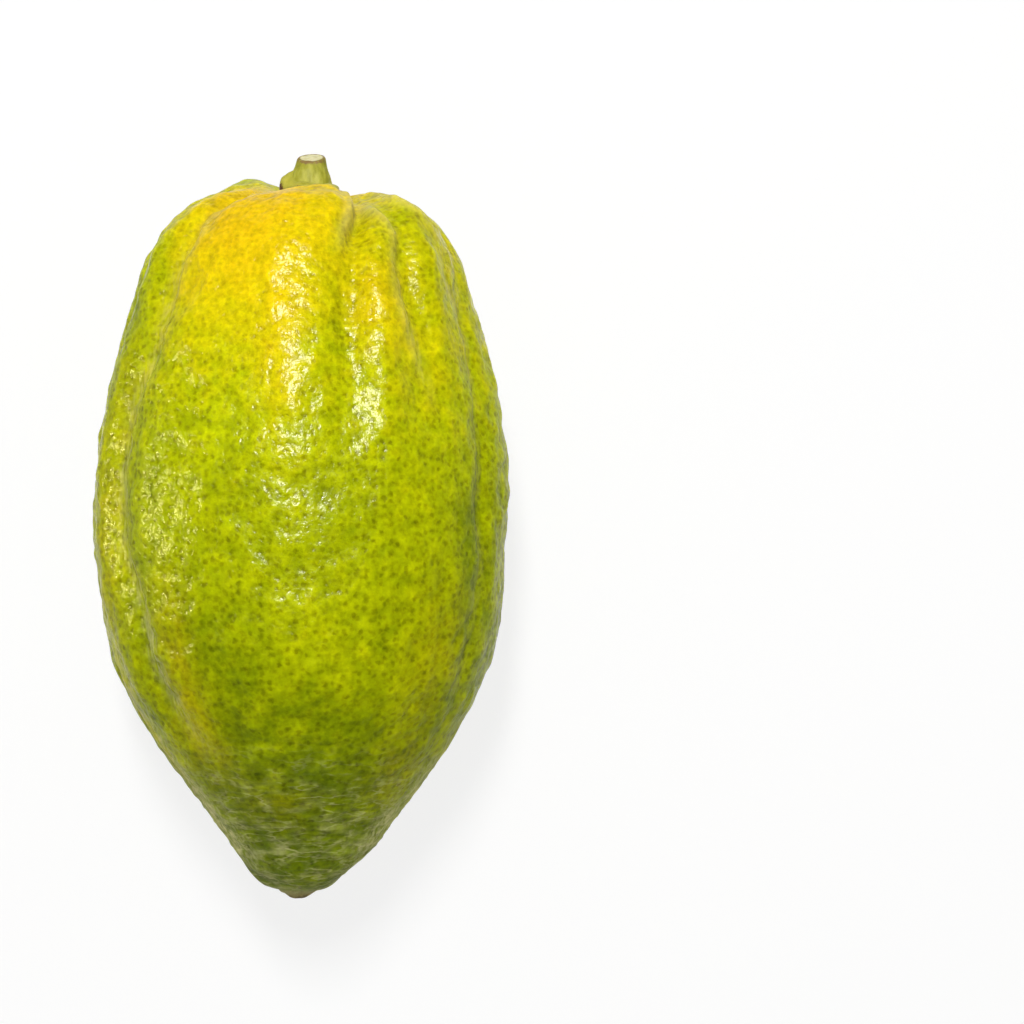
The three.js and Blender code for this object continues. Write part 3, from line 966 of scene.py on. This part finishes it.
def style_material():
    look = Look("dried_style")
    outwards = look.ease(look.stored("share"), 0.2, 1, 0.1, 0.85)
    dry = look.ramp(
        look.total(outwards, (look.noise(0.9, detail=4), 0.3)),
        [(0, "#665538"), (0.5, "#938851"), (1, "#b0ae70")],
    )
    height = look.total(0, (look.noise(0.25), 0.02), (look.noise(0.8, detail=3), 0.1))
    look.set(Base_Color=dry, Roughness=look.ease(look.noise(0.7), -1, 1, 0.6, 0.8))
    look.set(Normal=look.bump(height), IOR=END_PIECES_IOR)
    return look.material


def backdrop_material():
    """White, and mostly lit by itself where the camera, a reflection or a see-through thing looks at it.
    The rest of it keeps a soft shadow."""
    look = Look("backdrop")
    look.set(Base_Color=linear("#f4f4f2"), Roughness=0.9, Specular_IOR_Level=0)
    rays = look.node("ShaderNodeLightPath").outputs
    seen = look.math("MAXIMUM", rays["Is Camera Ray"], rays["Is Glossy Ray"])
    seen = look.math("MAXIMUM", seen, rays["Is Transmission Ray"])
    white = look.node("ShaderNodeEmission", {"Color": (1, 1, 1, 1), "Strength": 1})
    mixed = look.node("ShaderNodeMixShader", {0: look.times(seen, BACKDROP_SELF_LIT)})
    look.feed(mixed.inputs[1], look.shader.outputs[0])
    look.feed(mixed.inputs[2], white.outputs[0])
    look.feed(look.tree.nodes["Material Output"].inputs["Surface"], mixed.outputs[0])
    return look.material


# Stage


def add_backdrop(columns=96):
    """A round floor whose rim curves up into a low wall."""
    turn = -2 * math.pi * np.arange(columns) / columns
    circle = np.stack([np.cos(turn), np.sin(turn), 0 * turn], axis=-1)
    rings = np.array([radius * circle + [0, 0, height] for radius, height in BACKDROP_PROFILE])
    backdrop = rings_mesh("backdrop", [0, 0, 0], rings)
    backdrop.data.materials.append(backdrop_material())


def add_lamp(name, place, aim, size, watts, colour=(1, 1, 1), only_reflected=False):
    """A rectangular lamp. One that is only reflected gives glossy surfaces their highlights."""
    light = bpy.data.lights.new(name, "AREA")
    light.color = colour
    light.shape = "RECTANGLE"
    light.size, light.size_y = size
    light.energy = watts
    lamp = bpy.data.objects.new(name, light)
    lamp.location = place
    lamp.visible_diffuse = not only_reflected
    lamp.rotation_euler = (Vector(aim) - Vector(place)).to_track_quat("-Z", "Y").to_euler()
    bpy.context.collection.objects.link(lamp)


def add_world(strength):
    world = bpy.data.worlds.new("studio")
    world.use_nodes = True
    background = world.node_tree.nodes["Background"]
    background.inputs["Color"].default_value = (1, 1, 1, 1)
    background.inputs["Strength"].default_value = strength
    bpy.context.scene.world = world


def add_camera(place, lens):
    """A camera that looks straight down."""
    data = bpy.data.cameras.new("camera")
    data.lens = lens
    data.sensor_width = 36
    data.clip_start = 0.01
    camera = bpy.data.objects.new("camera", data)
    camera.location = place
    bpy.context.collection.objects.link(camera)
    bpy.context.scene.camera = camera


# The object


def shift_to_frame():
    """From the formulas' place to the CAD frame's, in millimetres: the fruit has the same box in both."""
    arc, azimuth = np.meshgrid(np.linspace(0, ARC_LENGTH, 200), np.arange(0, 360, 3), indexing="ij")
    plain = rest_flat(skin(arc, azimuth)).reshape(-1, 3)
    low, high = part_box("fruit")
    return (np.array(low) + np.array(high)) / 2 / MM - (plain.min(axis=0) + plain.max(axis=0)) / 2


def place_piece(piece, node, material):
    piece.data.materials.append(material)
    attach(piece, "root")
    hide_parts(node)


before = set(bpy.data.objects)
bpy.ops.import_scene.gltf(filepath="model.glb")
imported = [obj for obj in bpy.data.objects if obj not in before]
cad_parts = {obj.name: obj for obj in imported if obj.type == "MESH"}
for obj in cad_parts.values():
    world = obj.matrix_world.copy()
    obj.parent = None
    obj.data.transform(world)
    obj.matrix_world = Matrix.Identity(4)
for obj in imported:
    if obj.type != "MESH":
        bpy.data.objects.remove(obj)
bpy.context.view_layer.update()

shift = shift_to_frame()
place_piece(fruit_piece(shift), "fruit", rind_material())
place_piece(calyx_piece(shift), "calyx", calyx_material())
place_piece(stem_piece(shift), "stem", stem_material())
place_piece(style_piece(shift), "style_stub", style_material())

add_backdrop()
add_lamp("key", LAMP_PLACE, LAMP_AIM, size=(0.1, 0.28), watts=7)
add_lamp("gloss", LAMP_PLACE, LAMP_AIM, size=(0.085, 0.3), watts=76, only_reflected=True)
add_lamp("left", LEFT_PLACE, LEFT_AIM, size=(0.02, 0.05), watts=20, colour=GOLDEN, only_reflected=True)
add_world(strength=0.33)
add_camera(place=(0.0434, 0.0028, 0.623), lens=100)

bpy.context.scene.view_settings.view_transform = "Standard"
